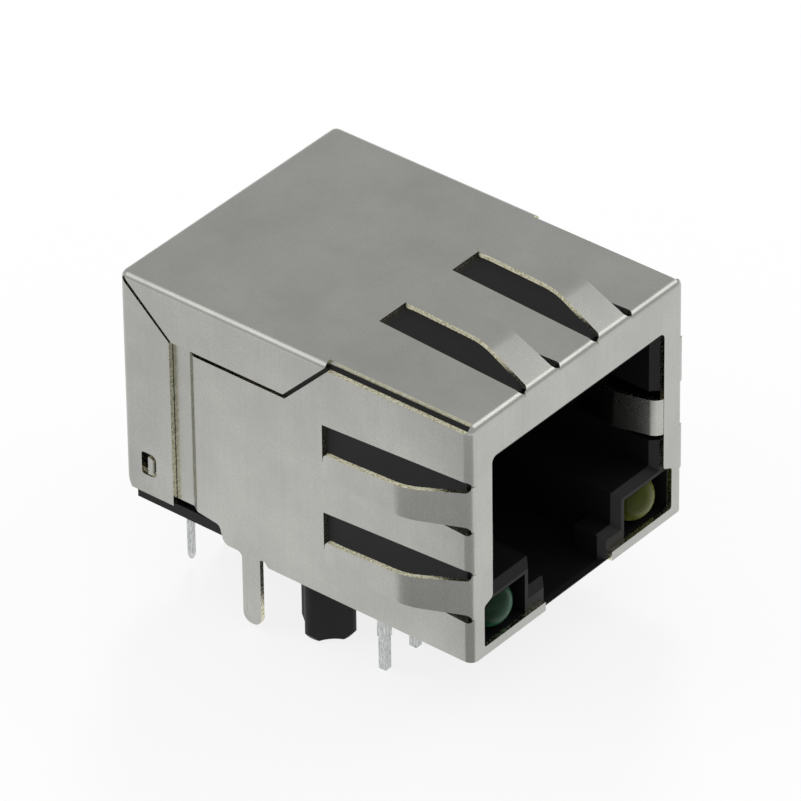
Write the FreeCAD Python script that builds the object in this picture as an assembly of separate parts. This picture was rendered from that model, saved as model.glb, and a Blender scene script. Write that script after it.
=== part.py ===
import FreeCAD
import Part
import math
import os

os.makedirs("parts", exist_ok=True)

# Shield: one folded sheet, outer sizes
WIDTH = 15.9
DEPTH = 21.1
SHIELD_LOW = 0.25
SHIELD_HEIGHT = 13.24
SHEET = 0.25
BEND = 0.45
LAYER_GAP = 0.03
CUT_GAP = 0.2
TOP = SHIELD_LOW + SHIELD_HEIGHT
HALF = WIDTH / 2
BEND_IN = BEND - SHEET
INNER = HALF - SHEET
INNER_TOP = TOP - SHEET
INNER_REAR = DEPTH - SHEET

# Datum: middle between the board pegs, on the board
PEG_X = 5.715
PEG_Y = 10.5

# Slit, flaps and joggle of the shield sides
SLIT_FRONT = 0.25
SLIT_END = 8.62
SLIT_LOW = TOP - 0.39
FLAP_LOW = 10.68
FLAP_DIAG_Y = 11.16
REAR_FLAP_RUN = 3.02
REAR_FLAP_Y = DEPTH - REAR_FLAP_RUN
REAR_FLAP_LOW = 1.28
STRIP_OVERLAP = 1.5
JOGGLE_Y = REAR_FLAP_Y - STRIP_OVERLAP
JOGGLE_RUN = 0.45
JOGGLE_ROUND = 0.2
STRIP_END = DEPTH - 0.8
WALL_REAR_LOW = 1.6
LANCE_REAR = DEPTH - 1.1
LANCE_FRONT = LANCE_REAR - 0.9
LANCE_MID = LANCE_FRONT + 0.45
LANCE_LOW = 2.37
LANCE_HIGH = 3.64
LANCE_PROUD = 0.06

# Ground tabs
TAB_W = 1.1
TAB_FRONT = DEPTH - 8.3
TAB_REAR = TAB_FRONT + TAB_W
TAB_TIP = -3.45
TAB_ROUND = 0.5
BEAD_R = 0.4
BEAD_PROUD = 0.09
BEAD_Y = TAB_REAR - 0.5
BEAD_LOW = -2.9
BEAD_HIGH = 0.3

# Grounding fingers and their slots
FINGER_SLOPE = math.radians(27.4)
FINGER_LIFT = 0.1
FINGER_RISE = 1.38
FINGER_BLEND = 3.0
FINGER_TIP = 7.72
FINGER_DROOP = 0.09
DROOP_RUN = 1.05
FINGER_CORNER = 0.35
FINGER_ROOT_HALF = 0.97
FINGER_TIP_HALF = 0.62
SLOT_ROOT_HALF = 1.5
SLOT_REAR_HALF = 1.03
SLOT_REAR = 8.84
SLOT_TURN = math.radians(35)
ROOT_FILLET = 0.25
ROOT_Y = BEND * (1 - math.cos(SLOT_TURN))
SIDE_FINGERS = [8.94, 3.98]
TOP_FINGERS = [-2.68, 2.68]

# Front opening of the shield and its contact tongues
MOUTH_HALF = 6.42
MOUTH_TOP = 11.15
MOUTH_STEP = 3.35
MOUTH_WIDE = 7.04
MOUTH_LOW = 0.75
STUB_END = 2.5
TONGUE_LOW = 5.34
TONGUE_HIGH = 7.34
TONGUE_R = 0.7
TONGUE_TURN = math.radians(75)
TONGUE_X = 6.63

# Housing; the module behind it reaches the shield's rear panel
CASE_REAR_GAP = 0.05
CASE_REAR = INNER_REAR - CASE_REAR_GAP
MODULE_DEPTH = 6.8
HOUSE_REAR = CASE_REAR - MODULE_DEPTH
HOUSE_LOW = 0.25
REAR_WALL = 1.0
CAVITY_HALF = 6.05
CAVITY_LOW = 3.5
CAVITY_HIGH = 10.45
CAVITY_REAR = HOUSE_REAR - REAR_WALL
LEAD_IN = 0.37
LATCH_HALF = 3.14
LATCH_REAR = CAVITY_REAR - 3.2
CATCH_HALF = 2.05
CATCH_HIGH = 1.75
CATCH_REAR = 1.9
CATCH_LEAD_IN = 0.3
CHANNEL_LOW = 0.75
LED_X = 5.37
LED_HALF = 1.5
LED_LOW = 0.75
LED_HIGH = 2.9
DOME_R = 1.25
DOME_Y = 1.27
DOME_Z = 1.92
LED_FLANGE_Y = 2.6
LED_REAR = 5.7
LED_ROUND = 0.5
LED_SIDE_GAP = 0.13
LED_HEIGHT_GAP = 0.05
TONGUE_ROOM = 0.4
TONGUE_POCKET_REAR = 5.2
PAD = 1.3
MIDDLE_PAD = 2.4
PAD_X = 6.2
PAD_FRONT_Y = 3.0
PAD_REAR_Y = HOUSE_REAR - 0.9
PEG_TIP = -3.6
PEG_SPAN = 3.1
PEG_NOSE = 0.4
LOBE_R = 0.43
PEG_HOLLOW = 0.2

# Leads and pins
LEAD = 0.42
LEAD_SHOULDER = 0.5
LEAD_OFFSET = 1.14
LEAD_Y = LED_REAR + 0.75
LEAD_ROOM = 0.4
LEAD_TIP = -3.8
LEAD_STEP = -1.8
PIN_R = 0.21
PIN_TIP = -3.45
PIN_TOP = 2.5
PIN_PITCH = 2.54

# Contacts
CONTACTS = 8
CONTACT_PITCH = 1.016
CONTACT_W = 0.46
CONTACT_T = 0.3
CONTACT_Z = 11.9
CONTACT_FRONT = 3.0
CONTACT_BEND = 0.75
CONTACT_FALL = math.radians(24)
CONTACT_TIP_Y = CAVITY_REAR - 1.95
CHANNEL_GAP = 0.08
CHANNEL_W = CONTACT_W + 2 * CHANNEL_GAP
ROW_HALF = (CONTACTS - 1) / 2 * CONTACT_PITCH
CARRIER_EDGE = 1.55
CARRIER_DEPTH = 1.1
CARRIER_BELOW = 0.9
CARRIER_ABOVE = 0.8
COMB_EDGE = 1.05
COMB_DEPTH = 1.8
COMB_LOW = 6.6
COMB_HIGH = 8.6
COMB_FLOOR = 0.3

# Module behind the housing
CASE_SIDE_GAP = 0.4
CASE_HALF = INNER - CASE_SIDE_GAP
BASE_SIDE_GAP = 0.05
BASE_HALF = INNER - BASE_SIDE_GAP
BASE_LOW = 0.6
BASE_HIGH = 1.2
CASE_FLOOR = 1.7
CASE_WALL = 0.8
CASE_HIGH = 9.9
BASE_STEP = 0.23
BASE_REAR = CASE_REAR - BASE_STEP
ROW_INSET = 1.8
ROW_GAP = 2.55
REAR_ROW_Y = CASE_REAR - ROW_INSET
FRONT_ROW_Y = REAR_ROW_Y - ROW_GAP
BOARD_T = 0.8
BOARD_GAP = 0.1
HOLE_INSET = 2.0
BOARD_HOLE_Y = HOUSE_REAR + HOLE_INSET
FOOT = 1.1
FOOT_X = 6.3
CORES = 4
CORE_GAP = 0.075
CORE_PITCH = 2 * (CASE_HALF - CASE_WALL) / CORES
CORE_R = CORE_PITCH / 2 - CORE_GAP
CORE_HOLE = 0.55
CORE_T = 2.0
CORE_Z = 5.2
CORE_Y = (HOUSE_REAR + CASE_REAR) / 2
BED_HIGH = CORE_Z - CORE_R
CHIP_L = 1.6
CHIP_W = 0.8
CHIP_H = 0.45
CHIP_PITCH = 1.2
CHIP_X = -5.5
CAPACITOR_L = 4.5
CAPACITOR_W = 2.0
CAPACITOR_H = 1.6
CAPACITOR_X = 3.4
COMPONENT_Y = (BOARD_HOLE_Y + CASE_REAR) / 2


def vec(x, y, z):
    return FreeCAD.Vector(x, y, z)


def side_place(u, v):
    """A point of a side-view outline: u runs along Y, v along Z."""
    return vec(0, u, v)


def plan_place(u, v):
    """A point of a plan outline: u runs along X, v along Y."""
    return vec(u, v, 0)


def front_place(u, v):
    """A point of a front-view outline: u runs along X, v along Z."""
    return vec(u, 0, v)


def box(x0, x1, y0, y1, z0, z1):
    return Part.makeBox(x1 - x0, y1 - y0, z1 - z0, vec(x0, y0, z0))


def outline(corners, place):
    """A closed wire through corners (u, v, radius), each corner rounded by its radius."""
    marks = []
    count = len(corners)
    for i in range(count):
        here = vec(corners[i][0], corners[i][1], 0)
        radius = corners[i][2]
        if radius <= 0:
            marks.append((here, here, None))
            continue
        back = vec(corners[i - 1][0], corners[i - 1][1], 0) - here
        ahead = vec(corners[(i + 1) % count][0], corners[(i + 1) % count][1], 0) - here
        back.normalize()
        ahead.normalize()
        half = back.getAngle(ahead) / 2
        cut = radius / math.tan(half)
        middle = back + ahead
        middle.normalize()
        top = here + middle * (radius / math.sin(half) - radius)
        marks.append((here + back * cut, here + ahead * cut, top))
    edges = []
    for i in range(count):
        first, last, top = marks[i]
        after = marks[(i + 1) % count][0]
        if top is not None:
            ends = [place(p.x, p.y) for p in (first, top, last)]
            edges.append(Part.Arc(ends[0], ends[1], ends[2]).toShape())
        if (after - last).Length > 1e-6:
            edges.append(Part.makeLine(place(last.x, last.y), place(after.x, after.y)))
    return Part.Wire(edges)


def side_prism(corners, x0, x1):
    """A side-view outline (y, z, radius) extruded from x0 to x1."""
    face = Part.Face(outline(corners, side_place))
    face.translate(vec(x0, 0, 0))
    return face.extrude(vec(x1 - x0, 0, 0))


def plan_prism(corners, z0, z1):
    """A plan outline (x, y, radius) extruded from z0 to z1."""
    face = Part.Face(outline(corners, plan_place))
    face.translate(vec(0, 0, z0))
    return face.extrude(vec(0, 0, z1 - z0))


def front_prism(corners, y0, y1):
    """A front-view outline (x, z, radius) extruded from y0 to y1."""
    face = Part.Face(outline(corners, front_place))
    face.translate(vec(0, y0, 0))
    return face.extrude(vec(0, y1 - y0, 0))


def mirrored(shape):
    """The same shape on the other side of the middle plane."""
    return shape.mirror(vec(0, 0, 0), vec(1, 0, 0))


def both(shape):
    """The shape and its mirror image."""
    return [shape, mirrored(shape)]


def fused(shapes):
    """One solid out of touching shapes, without the seams between them."""
    whole = shapes[0]
    if len(shapes) > 1:
        whole = shapes[0].fuse(shapes[1:])
    whole = whole.removeSplitter()
    return whole.Solids[0] if len(whole.Solids) == 1 else whole


def cut(shape, tools):
    return shape.cut(tools)


def save(name, shape):
    """Move from the front-face datum to the peg datum and write the piece."""
    placed = shape.copy()
    placed.translate(vec(0, -PEG_Y, 0))
    if placed.ShapeType != "Solid":
        placed = placed.Solids[0]
    placed.exportStep("parts/" + name + ".step")
    print(name, round(placed.Volume, 3), placed.isValid(), len(shape.Solids))


def skin(offset, low):
    """The shield's bent box, moved inward by offset."""
    side = HALF - offset
    block = box(-side, side, offset, DEPTH - offset, low, TOP - offset)
    bends = []
    for edge in block.Edges:
        middle = edge.CenterOfMass
        upright = abs(middle.z - (low + TOP - offset) / 2) < 0.01
        upper = abs(middle.z - (TOP - offset)) < 0.01
        if upright or upper:
            bends.append(edge)
    return block.makeFillet(BEND - offset, bends)


def finger_band(half):
    """A finger's bent sheet as a prism of the given half width, root on the front bend.

    In the profile u runs rearward from the front face and v outward from the sheet's outer face.
    """
    lean = vec(math.cos(FINGER_SLOPE), math.sin(FINGER_SLOPE), 0)
    bend_v = FINGER_LIFT - BEND
    start_v = -BEND - 0.02
    wires = []
    for depth in (0, SHEET):
        radius = BEND - depth
        centre = vec(BEND, bend_v, 0)
        arc_mid = math.radians(180) - (math.radians(90) - FINGER_SLOPE) / 2
        arc_end = math.radians(90) + FINGER_SLOPE
        first = centre + vec(-radius, 0, 0)
        middle = centre + vec(math.cos(arc_mid), math.sin(arc_mid), 0) * radius
        last = centre + vec(math.cos(arc_end), math.sin(arc_end), 0) * radius
        flat_v = FINGER_RISE - depth
        climb = (flat_v - last.y) / math.sin(FINGER_SLOPE)
        knee = last + lean * climb
        blend = FINGER_BLEND - depth
        reach = blend * math.tan(FINGER_SLOPE / 2)
        rise_end = knee - lean * reach
        flat_start = knee + vec(reach, 0, 0)
        turn = FINGER_SLOPE / 2
        centre2 = flat_start + vec(0, -blend, 0)
        crest = centre2 + vec(-math.sin(turn), math.cos(turn), 0) * blend
        droop_at = vec(FINGER_TIP - DROOP_RUN, flat_v, 0)
        tip = vec(FINGER_TIP + 0.02 - depth * 0.1, flat_v - FINGER_DROOP, 0)
        wires.append([vec(depth, start_v, 0), first, middle, last, rise_end, crest, flat_start,
                      droop_at, tip])
    out_line, in_line = wires

    def flat(p):
        return vec(0, p.x, p.y)

    edges = []
    for line in (out_line, in_line):
        a, b, c, d, e, g, h, k, m = [flat(p) for p in line]
        edges.append(Part.makeLine(a, b))
        edges.append(Part.Arc(b, c, d).toShape())
        edges.append(Part.makeLine(d, e))
        edges.append(Part.Arc(e, g, h).toShape())
        edges.append(Part.makeLine(h, k))
        sag = (k + m) * 0.5 + vec(0, 0, FINGER_DROOP / 4)
        edges.append(Part.Arc(k, sag, m).toShape())
    edges.append(Part.makeLine(flat(out_line[0]), flat(in_line[0])))
    edges.append(Part.makeLine(flat(out_line[-1]), flat(in_line[-1])))
    wire = Part.Wire(Part.__sortEdges__(edges))
    face = Part.Face(wire)
    face.translate(vec(-half, 0, 0))
    return face.extrude(vec(2 * half, 0, 0))


def top_finger(at_x):
    """A finger standing on the top panel, its middle at at_x."""
    band = finger_band(SLOT_ROOT_HALF)
    reach = FINGER_TIP_HALF
    wide = FINGER_ROOT_HALF + ROOT_FILLET + 0.02
    plan = plan_prism([(-wide, -0.5, 0), (wide, -0.5, 0), (wide, ROOT_Y, 0),
                       (FINGER_ROOT_HALF, ROOT_Y, ROOT_FILLET), (reach, FINGER_TIP, FINGER_CORNER),
                       (-reach, FINGER_TIP, FINGER_CORNER), (-FINGER_ROOT_HALF, ROOT_Y, ROOT_FILLET),
                       (-wide, ROOT_Y, 0)], -2, 3)
    finger = band.common(plan)
    finger.translate(vec(at_x, 0, TOP))
    return finger


def slot_cutter(at_x):
    """The opening round a top finger, open to the front bend."""
    plan = plan_prism([(-SLOT_ROOT_HALF, ROOT_Y, 0.22), (SLOT_ROOT_HALF, ROOT_Y, 0.22),
                       (SLOT_REAR_HALF, SLOT_REAR, 0), (-SLOT_REAR_HALF, SLOT_REAR, 0)],
                      TOP - 0.8, TOP + 0.8)
    plan.translate(vec(at_x, 0, 0))
    ahead = BEND - 1.2 * math.cos(SLOT_TURN)
    behind = side_prism([(BEND, TOP - BEND, 0), (ahead, TOP - BEND + 1.2 * math.sin(SLOT_TURN), 0),
                         (ahead, TOP + 2, 0),
                         (SLOT_REAR + 1, TOP + 2, 0), (SLOT_REAR + 1, TOP - BEND, 0)],
                        at_x - 3, at_x + 3)
    return plan.common(behind)


def to_side(shape, at_z):
    """Turn a top feature made at x = 0 onto the right wall at height at_z."""
    turned = shape.copy()
    turned.translate(vec(0, 0, -TOP))
    turned.rotate(vec(0, 0, 0), vec(0, 1, 0), 90)
    turned.translate(vec(HALF, 0, at_z))
    return turned


def tongue():
    """The contact tongue at the right edge of the front opening."""
    centre = vec(TONGUE_X, TONGUE_R, 0)
    inward = vec(-math.cos(TONGUE_TURN), math.sin(TONGUE_TURN), 0)
    edges = []
    rows = []
    for depth in (0, SHEET):
        radius = TONGUE_R - depth
        half = TONGUE_TURN / 2
        first = centre + vec(0, -radius, 0)
        middle = centre + vec(-math.sin(half), -math.cos(half), 0) * radius
        last = centre + vec(-math.sin(TONGUE_TURN), -math.cos(TONGUE_TURN), 0) * radius
        elbow = last + inward * 1.75
        side = vec(math.sin(TONGUE_TURN), math.cos(TONGUE_TURN), 0)
        curl = 0.6 + depth
        hub = elbow + side * (0.6 if depth == 0 else 0.6 - SHEET)
        curl = 0.6 - depth
        turn = math.radians(38)
        a0 = math.atan2(elbow.y - hub.y, elbow.x - hub.x)
        mid2 = hub + vec(math.cos(a0 - turn / 2), math.sin(a0 - turn / 2), 0) * curl
        end2 = hub + vec(math.cos(a0 - turn), math.sin(a0 - turn), 0) * curl
        out = vec(math.sin(a0 - turn), -math.cos(a0 - turn), 0)
        tip = end2 + out * 0.7
        rows.append([vec(TONGUE_X + 0.3, depth, 0), first, middle, last, elbow, mid2, end2, tip])
    for row in rows:
        edges.append(Part.makeLine(row[0], row[1]))
        edges.append(Part.Arc(row[1], row[2], row[3]).toShape())
        edges.append(Part.makeLine(row[3], row[4]))
        edges.append(Part.Arc(row[4], row[5], row[6]).toShape())
        edges.append(Part.makeLine(row[6], row[7]))
    edges.append(Part.makeLine(rows[0][0], rows[1][0]))
    edges.append(Part.makeLine(rows[0][-1], rows[1][-1]))
    face = Part.Face(Part.Wire(Part.__sortEdges__(edges)))
    face.translate(vec(0, 0, TONGUE_LOW))
    return face.extrude(vec(0, 0, TONGUE_HIGH - TONGUE_LOW))


def shield():
    body = skin(0, SHIELD_LOW).cut(skin(SHEET, SHIELD_LOW - 1))
    far = HALF + 0.5
    near = HALF - BEND
    slit = side_prism([(SLIT_FRONT, SLIT_LOW, 0.12), (SLIT_END, SLIT_LOW, 0),
                       (SLIT_END, TOP + 0.2, 0), (SLIT_FRONT, TOP + 0.2, 0)], near, far)
    slope = (REAR_FLAP_Y, FLAP_LOW - 0.06)
    crest = (DEPTH - 0.2, TOP - 0.39)
    away = (-0.128, 0.154)
    gap = side_prism([(SLIT_END - 0.32, SLIT_LOW + 0.15, 0),
                      (FLAP_DIAG_Y - 0.1, FLAP_LOW - CUT_GAP, 0.1),
                      (REAR_FLAP_Y, FLAP_LOW - CUT_GAP, 0), (slope[0], slope[1], 0),
                      (crest[0], crest[1], 0), (crest[0] + away[0], crest[1] + away[1], 0),
                      (slope[0] + away[0] - 0.03, FLAP_LOW, 0.1), (FLAP_DIAG_Y, FLAP_LOW, 0.1),
                      (SLIT_END - 0.02, SLIT_LOW + 0.15, 0)], near, far)
    recess = side_prism([(JOGGLE_Y, -1, 0), (REAR_FLAP_Y, -1, 0), (REAR_FLAP_Y, FLAP_LOW - 0.1, 0),
                         (JOGGLE_Y, FLAP_LOW - 0.1, 0)], near + 0.1, far)
    under = side_prism([(TAB_REAR, -1, 0), (TAB_REAR, 0.45, 0), (JOGGLE_Y - 1.58, 0.45, 0.4),
                        (JOGGLE_Y - 1.33, 1.42, 0.3), (JOGGLE_Y, WALL_REAR_LOW, 0), (REAR_FLAP_Y, 1.62, 0),
                        (REAR_FLAP_Y, -1, 0)], near + 0.1, far)
    relief = side_prism([(TAB_FRONT - 0.5, -1, 0), (TAB_FRONT - 0.5, SHIELD_LOW, 0),
                         (TAB_FRONT - 0.3, SHIELD_LOW + 0.25, 0.1), (TAB_FRONT, SHIELD_LOW + 0.25, 0.1),
                         (TAB_FRONT, -1, 0)], near + 0.1, far)
    tail = side_prism([(REAR_FLAP_Y - 0.1, -1, 0), (REAR_FLAP_Y - 0.1, REAR_FLAP_LOW, 0),
                       (DEPTH - 0.44, REAR_FLAP_LOW, 0), (DEPTH - 0.1, 1.85, 0), (DEPTH + 1, 1.85, 0),
                       (DEPTH + 1, -1, 0)], near, far)
    back_low = box(-HALF, HALF, DEPTH - BEND, DEPTH + 1, -1, REAR_FLAP_LOW)
    tools = []
    for shape in (slit, gap, recess, under, relief, tail):
        tools += both(shape)
    tools.append(back_low)
    for at_x in TOP_FINGERS:
        tools.append(slot_cutter(at_x))
    for at_z in SIDE_FINGERS:
        tools += both(to_side(slot_cutter(0), at_z))
    mouth = front_prism([(-MOUTH_HALF, MOUTH_TOP, 0.35), (MOUTH_HALF, MOUTH_TOP, 0.35),
                         (MOUTH_HALF, MOUTH_STEP, 0.25), (MOUTH_WIDE, MOUTH_STEP - 0.27, 0.2),
                         (MOUTH_WIDE, MOUTH_LOW, 0.15), (STUB_END, MOUTH_LOW, 0.05),
                         (STUB_END, -1, 0), (-STUB_END, -1, 0), (-STUB_END, MOUTH_LOW, 0.05),
                         (-MOUTH_WIDE, MOUTH_LOW, 0.15), (-MOUTH_WIDE, MOUTH_STEP - 0.27, 0.2),
                         (-MOUTH_HALF, MOUTH_STEP, 0.25)], -1, SHEET)
    tools.append(mouth)
    body = cut(body, tools)

    lance = side_prism([(LANCE_FRONT, LANCE_LOW, 0.3), (LANCE_REAR, LANCE_LOW, 0.15),
                        (LANCE_REAR, LANCE_HIGH, 0.15), (LANCE_FRONT, LANCE_HIGH, 0.3)], HALF - 0.27, far)
    body = cut(body, both(lance))

    strip_out = HALF - SHEET - LAYER_GAP
    drop = SHEET + LAYER_GAP
    shift = SHEET * math.tan(math.atan2(drop, JOGGLE_RUN) / 2)
    tight = JOGGLE_ROUND
    wide = JOGGLE_ROUND + SHEET
    strip = plan_prism([(HALF, JOGGLE_Y - 0.3, 0), (HALF, JOGGLE_Y, wide),
                        (strip_out, JOGGLE_Y + JOGGLE_RUN, tight), (strip_out, STRIP_END, 0),
                        (strip_out - SHEET, STRIP_END, 0),
                        (strip_out - SHEET, JOGGLE_Y + JOGGLE_RUN - shift, wide),
                        (INNER, JOGGLE_Y - shift, tight), (INNER, JOGGLE_Y - 0.3, 0)],
                       WALL_REAR_LOW, FLAP_LOW - CUT_GAP)
    lance_at = (LANCE_LOW + LANCE_HIGH) / 2
    slot = box(strip_out - 1, far, LANCE_MID, LANCE_MID + 0.45, LANCE_LOW + 0.15, LANCE_HIGH - 0.15)
    out = HALF + LANCE_PROUD
    bump = side_prism([(LANCE_MID, LANCE_LOW + 0.15, 0), (LANCE_MID, LANCE_HIGH - 0.15, 0),
                       (LANCE_FRONT + 0.08, LANCE_HIGH - 0.15, 0.28),
                       (LANCE_FRONT + 0.08, LANCE_LOW + 0.15, 0.28)], strip_out - SHEET, out)
    slope = plan_prism([(strip_out - 0.1, LANCE_FRONT, 0), (out + 0.2, LANCE_FRONT + 0.25, 0),
                        (out + 0.2, LANCE_FRONT - 1, 0), (strip_out - 0.1, LANCE_FRONT - 1, 0)],
                       lance_at - 1, lance_at + 1)
    strip = strip.cut(slot).fuse(bump.cut(slope))

    tab = side_prism([(TAB_FRONT, 0.7, 0), (TAB_FRONT, TAB_TIP, TAB_ROUND),
                      (TAB_REAR, TAB_TIP, TAB_ROUND), (TAB_REAR, 0.7, 0)], INNER, HALF)
    root = side_prism([(TAB_REAR - 0.1, 0.5, 0), (TAB_REAR - 0.1, -0.2, 0), (TAB_REAR, -0.2, 0),
                       (TAB_REAR, SHIELD_LOW + 0.2, 0.3), (TAB_REAR + 0.6, SHIELD_LOW + 0.2, 0),
                       (TAB_REAR + 0.6, 0.5, 0)], INNER, HALF)
    bead_x = HALF + BEAD_PROUD - BEAD_R
    long = BEAD_HIGH - BEAD_LOW
    bead = Part.makeCylinder(BEAD_R, long, vec(bead_x, BEAD_Y, BEAD_LOW), vec(0, 0, 1))
    ends = front_prism([(INNER + 0.05, BEAD_LOW, 0), (INNER + 0.05, BEAD_HIGH, 0),
                        (HALF, BEAD_HIGH, 0), (HALF + BEAD_PROUD, BEAD_HIGH - 0.3, 0),
                        (HALF + BEAD_PROUD, BEAD_LOW + 0.3, 0), (HALF, BEAD_LOW, 0)],
                       TAB_FRONT - 1, TAB_REAR + 1)
    tab = tab.fuse([root, bead.common(ends)])

    pieces = [body]
    pieces += both(strip)
    pieces += both(tab)
    for at_x in TOP_FINGERS:
        pieces.append(top_finger(at_x))
    for at_z in SIDE_FINGERS:
        pieces += both(to_side(top_finger(0), at_z))
    pieces += both(tongue())
    return fused(pieces)


def peg(at_x):
    """A board peg: a square on its corner with hollow sides, round corners and a rounded end."""
    hub = PEG_SPAN / 2 - LOBE_R
    low = vec(0, 0, PEG_TIP)
    edges = []
    for step in range(4):
        turn = math.radians(90 * step)
        lean = turn + math.radians(45)
        here = vec(hub * math.cos(turn), hub * math.sin(turn), 0)
        after = vec(-hub * math.sin(turn), hub * math.cos(turn), 0)
        out = vec(math.cos(lean), math.sin(lean), 0)
        back = vec(math.cos(lean - math.pi / 2), math.sin(lean - math.pi / 2), 0)
        start = here + back * LOBE_R
        crest = here + vec(math.cos(turn), math.sin(turn), 0) * LOBE_R
        end = here + out * LOBE_R
        hollow = (here + after) * 0.5 + out * (LOBE_R - PEG_HOLLOW)
        edges.append(Part.Arc(start + low, crest + low, end + low).toShape())
        edges.append(Part.Arc(end + low, hollow + low, after + out * LOBE_R + low).toShape())
    body = Part.Face(Part.Wire(edges)).extrude(vec(0, 0, HOUSE_LOW + 0.05 - PEG_TIP))
    wide = PEG_SPAN / 2 + 0.02
    nose = Part.makeCone(wide - PEG_NOSE * 0.75, wide, PEG_NOSE, low, vec(0, 0, 1))
    shank = Part.makeCylinder(wide, 4, low + vec(0, 0, PEG_NOSE), vec(0, 0, 1))
    body = body.common(nose.fuse(shank))
    body.translate(vec(at_x, PEG_Y, 0))
    return body


def contact_x(index):
    return (index - (CONTACTS - 1) / 2) * CONTACT_PITCH


def lead_in_frame(half0, half1, low, high, grow, depth):
    """A lead-in: a rectangle at the front growing outward by grow over depth."""
    front = Part.makePolygon([vec(half0 - grow, SHEET, low - grow), vec(half1 + grow, SHEET, low - grow),
                              vec(half1 + grow, SHEET, high + grow), vec(half0 - grow, SHEET, high + grow),
                              vec(half0 - grow, SHEET, low - grow)])
    rear_y = SHEET + depth
    rear = Part.makePolygon([vec(half0, rear_y, low), vec(half1, rear_y, low), vec(half1, rear_y, high),
                             vec(half0, rear_y, high), vec(half0, rear_y, low)])
    return Part.makeLoft([front, rear], True, True)


def housing():
    block = box(-INNER, INNER, SHEET, HOUSE_REAR, HOUSE_LOW, INNER_TOP)
    rounds = []
    for edge in block.Edges:
        middle = edge.CenterOfMass
        upright = abs(abs(middle.x) - INNER) < 0.01 and abs(middle.y - SHEET) < 0.01
        upper = abs(middle.z - INNER_TOP) < 0.01 and abs(middle.y - HOUSE_REAR) > 0.01
        if upright or upper:
            rounds.append(edge)
    block = block.makeChamfer(BEND_IN, rounds)
    cavity = box(-CAVITY_HALF, CAVITY_HALF, 0, CAVITY_REAR, CAVITY_LOW, CAVITY_HIGH)
    latch_up = box(-LATCH_HALF, LATCH_HALF, 0, LATCH_REAR, CATCH_HIGH, CAVITY_LOW + 0.5)
    latch_low = box(-CATCH_HALF, CATCH_HALF, 0, LATCH_REAR, CHANNEL_LOW, CAVITY_LOW)
    latch_back = box(-LATCH_HALF, LATCH_HALF, CATCH_REAR, LATCH_REAR, CHANNEL_LOW, CAVITY_LOW)
    tools = [cavity, latch_up, latch_low, latch_back]
    tools.append(lead_in_frame(-CAVITY_HALF, CAVITY_HALF, CAVITY_LOW, CAVITY_HIGH, LEAD_IN, LEAD_IN))
    tools.append(lead_in_frame(-LATCH_HALF, LATCH_HALF, CATCH_HIGH, CAVITY_LOW + 0.4, LEAD_IN, LEAD_IN))
    tools.append(lead_in_frame(-CATCH_HALF, CATCH_HALF, CHANNEL_LOW, CATCH_HIGH, CATCH_LEAD_IN,
                               CATCH_LEAD_IN))
    for sign in (-1, 1):
        middle = sign * LED_X
        half = LED_HALF + LED_SIDE_GAP
        tools.append(box(middle - half, middle + half, 0, LEAD_Y + LEAD_ROOM, LED_LOW - LED_HEIGHT_GAP,
                         LED_HIGH + LED_HEIGHT_GAP))
        for side in (-1, 1):
            lead_x = middle + side * LEAD_OFFSET
            grip = LEAD_SHOULDER / 2
            tools.append(box(lead_x - grip, lead_x + grip, LEAD_Y - grip, LEAD_Y + grip, -1, 2))
        inner = sign * (CAVITY_HALF - 0.1)
        outer = sign * (INNER - 0.75)
        tools.append(box(min(inner, outer), max(inner, outer), 0, TONGUE_POCKET_REAR,
                         TONGUE_LOW - TONGUE_ROOM, TONGUE_HIGH + TONGUE_ROOM))
    for index in range(CONTACTS):
        at = contact_x(index)
        tools.append(box(at - CHANNEL_W / 2, at + CHANNEL_W / 2, 2.0, CAVITY_REAR,
                         CAVITY_HIGH - 0.5, CONTACT_Z + CONTACT_T / 2 + 0.05))
        tools.append(box(at - CONTACT_W / 2, at + CONTACT_W / 2, CAVITY_REAR - 0.5, HOUSE_REAR + 1,
                         CONTACT_Z - CONTACT_T / 2, CONTACT_Z + CONTACT_T / 2))
    body = cut(block, tools)
    half = MIDDLE_PAD / 2
    pads = [box(-half, half, PEG_Y - half, PEG_Y + half, 0, HOUSE_LOW + 0.05)]
    for at_x in (-PAD_X, PAD_X):
        for at_y in (PAD_FRONT_Y, PAD_REAR_Y):
            half = PAD / 2
            pads.append(box(at_x - half, at_x + half, at_y - half, at_y + half, 0, HOUSE_LOW + 0.05))
    edge = ROW_HALF + COMB_EDGE
    comb = box(-edge, edge, CAVITY_REAR - COMB_DEPTH, CAVITY_REAR, COMB_LOW, COMB_HIGH)
    combs = []
    for index in range(CONTACTS):
        at = contact_x(index)
        combs.append(box(at - CHANNEL_W / 2, at + CHANNEL_W / 2, CAVITY_REAR - COMB_DEPTH - 1, CAVITY_REAR,
                         COMB_LOW + COMB_FLOOR, COMB_HIGH + 1))
    comb = comb.cut(combs)
    return fused([body, comb, peg(-PEG_X), peg(PEG_X)] + pads)


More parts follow.
